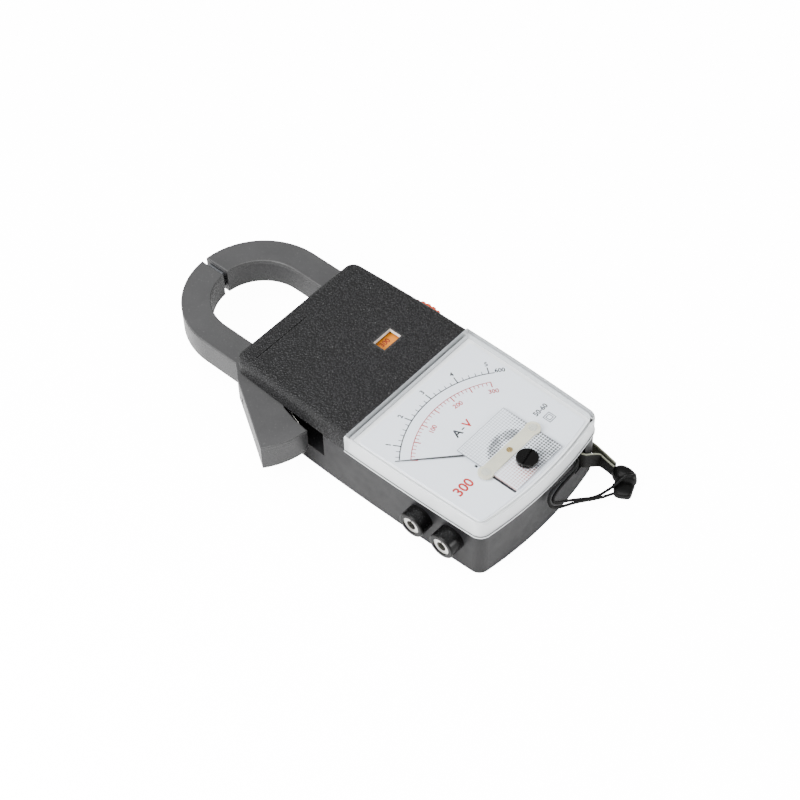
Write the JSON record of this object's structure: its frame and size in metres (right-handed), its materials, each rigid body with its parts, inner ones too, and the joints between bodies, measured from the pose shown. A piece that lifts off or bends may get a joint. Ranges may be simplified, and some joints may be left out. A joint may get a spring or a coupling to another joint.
{
  "type": "clamp meter",
  "caption": "Pocket analogue clamp meter with hinged split jaw, side trigger, range thumbwheel, needle dial under a clear lens, two side jacks and a wrist strap.",
  "frame": {"origin": "on the flat back face, on the centre plane, below the joint between the cover and the clear lens", "axes": "+Y along the body to the jaws, +Z out of the dial, +X to the right of someone who reads the dial with the jaws at the top"},
  "size_m": [0.092, 0.1916, 0.0326],
  "materials": {
    "case_black": "fine satin black moulding",
    "cover_grain": "leather-grained black moulding",
    "jaw_grey": "smooth satin dark grey moulding",
    "lens_clear": "clear polished acrylic",
    "label_foil": "blank matte foil",
    "steel_screw": "bright zinc plate",
    "core_steel": "stacked steel laminations",
    "magnet_dark": "sintered magnet",
    "bobbin_nylon": "pale natural nylon",
    "copper_wire": "enamelled copper wire",
    "brass_part": "plain brass",
    "spring_steel": "bright spring steel",
    "wheel_orange": "orange-red moulding",
    "board_green": "green solder mask",
    "resistor_body": "lacquered film resistor",
    "diode_glass": "orange glass",
    "trimmer_blue": "blue moulding",
    "dial_face": "printed white dial",
    "frame_alloy": "stamped alloy",
    "needle_black": "black painted needle",
    "knob_black": "black moulding",
    "socket_nickel": "bright nickel plate",
    "lead_sleeve": "coloured wire sleeve",
    "strap_webbing": "black woven band",
    "strap_clasp": "soft black moulding",
    "strap_cord": "black braided cord"
  },
  "bodies": {
    "case": {"back_case": "case_black", "top_cover": "cover_grain", "fixed_jaw_shell": "jaw_grey", "fixed_jaw_lid": "jaw_grey", "meter_lens": "lens_clear", "range_window": "lens_clear", "back_label": "label_foil", "case_screws": "steel_screw", "pivot_pin": "steel_screw", "range_axle": "steel_screw", "jack_nuts": "steel_screw", "bridge_screws": "steel_screw", "fixed_core": "core_steel", "movement_yoke": "core_steel", "movement_magnet": "magnet_dark", "coil_bobbin": "bobbin_nylon", "upper_bridge": "bobbin_nylon", "secondary_winding": "copper_wire", "range_contacts": "brass_part", "dial_brackets": "brass_part", "jewel_screws": "brass_part", "hairspring": "brass_part", "jaw_spring": "spring_steel", "detent_spring": "spring_steel", "circuit_board": "board_green", "resistors": "resistor_body", "rectifier_diodes": "diode_glass", "trimmer": "trimmer_blue", "dial_plate": "dial_face", "movement_screen": "dial_face", "dial_surround": "dial_face", "movement_frame": "frame_alloy", "jack_collar_1": "knob_black", "jack_collar_2": "knob_black", "jack_socket_1": "socket_nickel", "jack_socket_2": "socket_nickel", "jack_leads": "lead_sleeve", "winding_leads": "lead_sleeve", "movement_leads": "lead_sleeve", "strap_band": "strap_webbing", "strap_clasp": "strap_clasp", "strap_cord_a": "strap_cord", "strap_cord_b": "strap_cord"},
    "moving_jaw": {"moving_jaw_shell": "jaw_grey", "moving_jaw_lid": "jaw_grey", "moving_core": "core_steel", "pivot_bush": "brass_part"},
    "range_wheel": {"range_wheel": "wheel_orange", "range_wiper": "brass_part"},
    "needle_coil": {"needle": "needle_black", "moving_coil": "copper_wire", "coil_spindle": "steel_screw"},
    "zero_adjuster": {"zero_adjuster": "knob_black"},
    "zero_lever": {"zero_lever": "brass_part"}
  },
  "joints": [
    {"name": "jaw_open", "type": "hinge", "parent": "case", "child": "moving_jaw", "pos_m": [-0.026, 0.04, 0.017], "axis": [0, 0, 1], "range_deg": [0, 22], "stiffness_Nm_per_rad": 0.35, "springref_deg": -8.59, "deforming": ["jaw_spring"]},
    {"name": "range_select", "type": "hinge", "parent": "case", "child": "range_wheel", "pos_m": [0.02, 0.0193, 0.0265], "axis": [0, 0, 1], "range_deg": [-144, 144]},
    {"name": "needle_swing", "type": "hinge", "parent": "case", "child": "needle_coil", "pos_m": [0.0002, -0.0489, 0.0282], "axis": [0, 0, 1], "range_deg": [-90, 0], "stiffness_Nm_per_rad": 0.00002},
    {"name": "zero_adjust", "type": "hinge", "parent": "case", "child": "zero_adjuster", "pos_m": [0.0002, -0.0571, 0.0318], "axis": [0, 0, 1], "range_deg": [-25, 25]},
    {"name": "zero_lever_turn", "type": "hinge", "parent": "case", "child": "zero_lever", "pos_m": [0.0002, -0.0489, 0.025], "axis": [0, 0, 1], "range_deg": [-4.5, 4.5]}
  ],
  "couplings": [
    {"joint": "zero_lever_turn", "follows": "zero_adjust", "ratio": -0.17143}
  ]
}
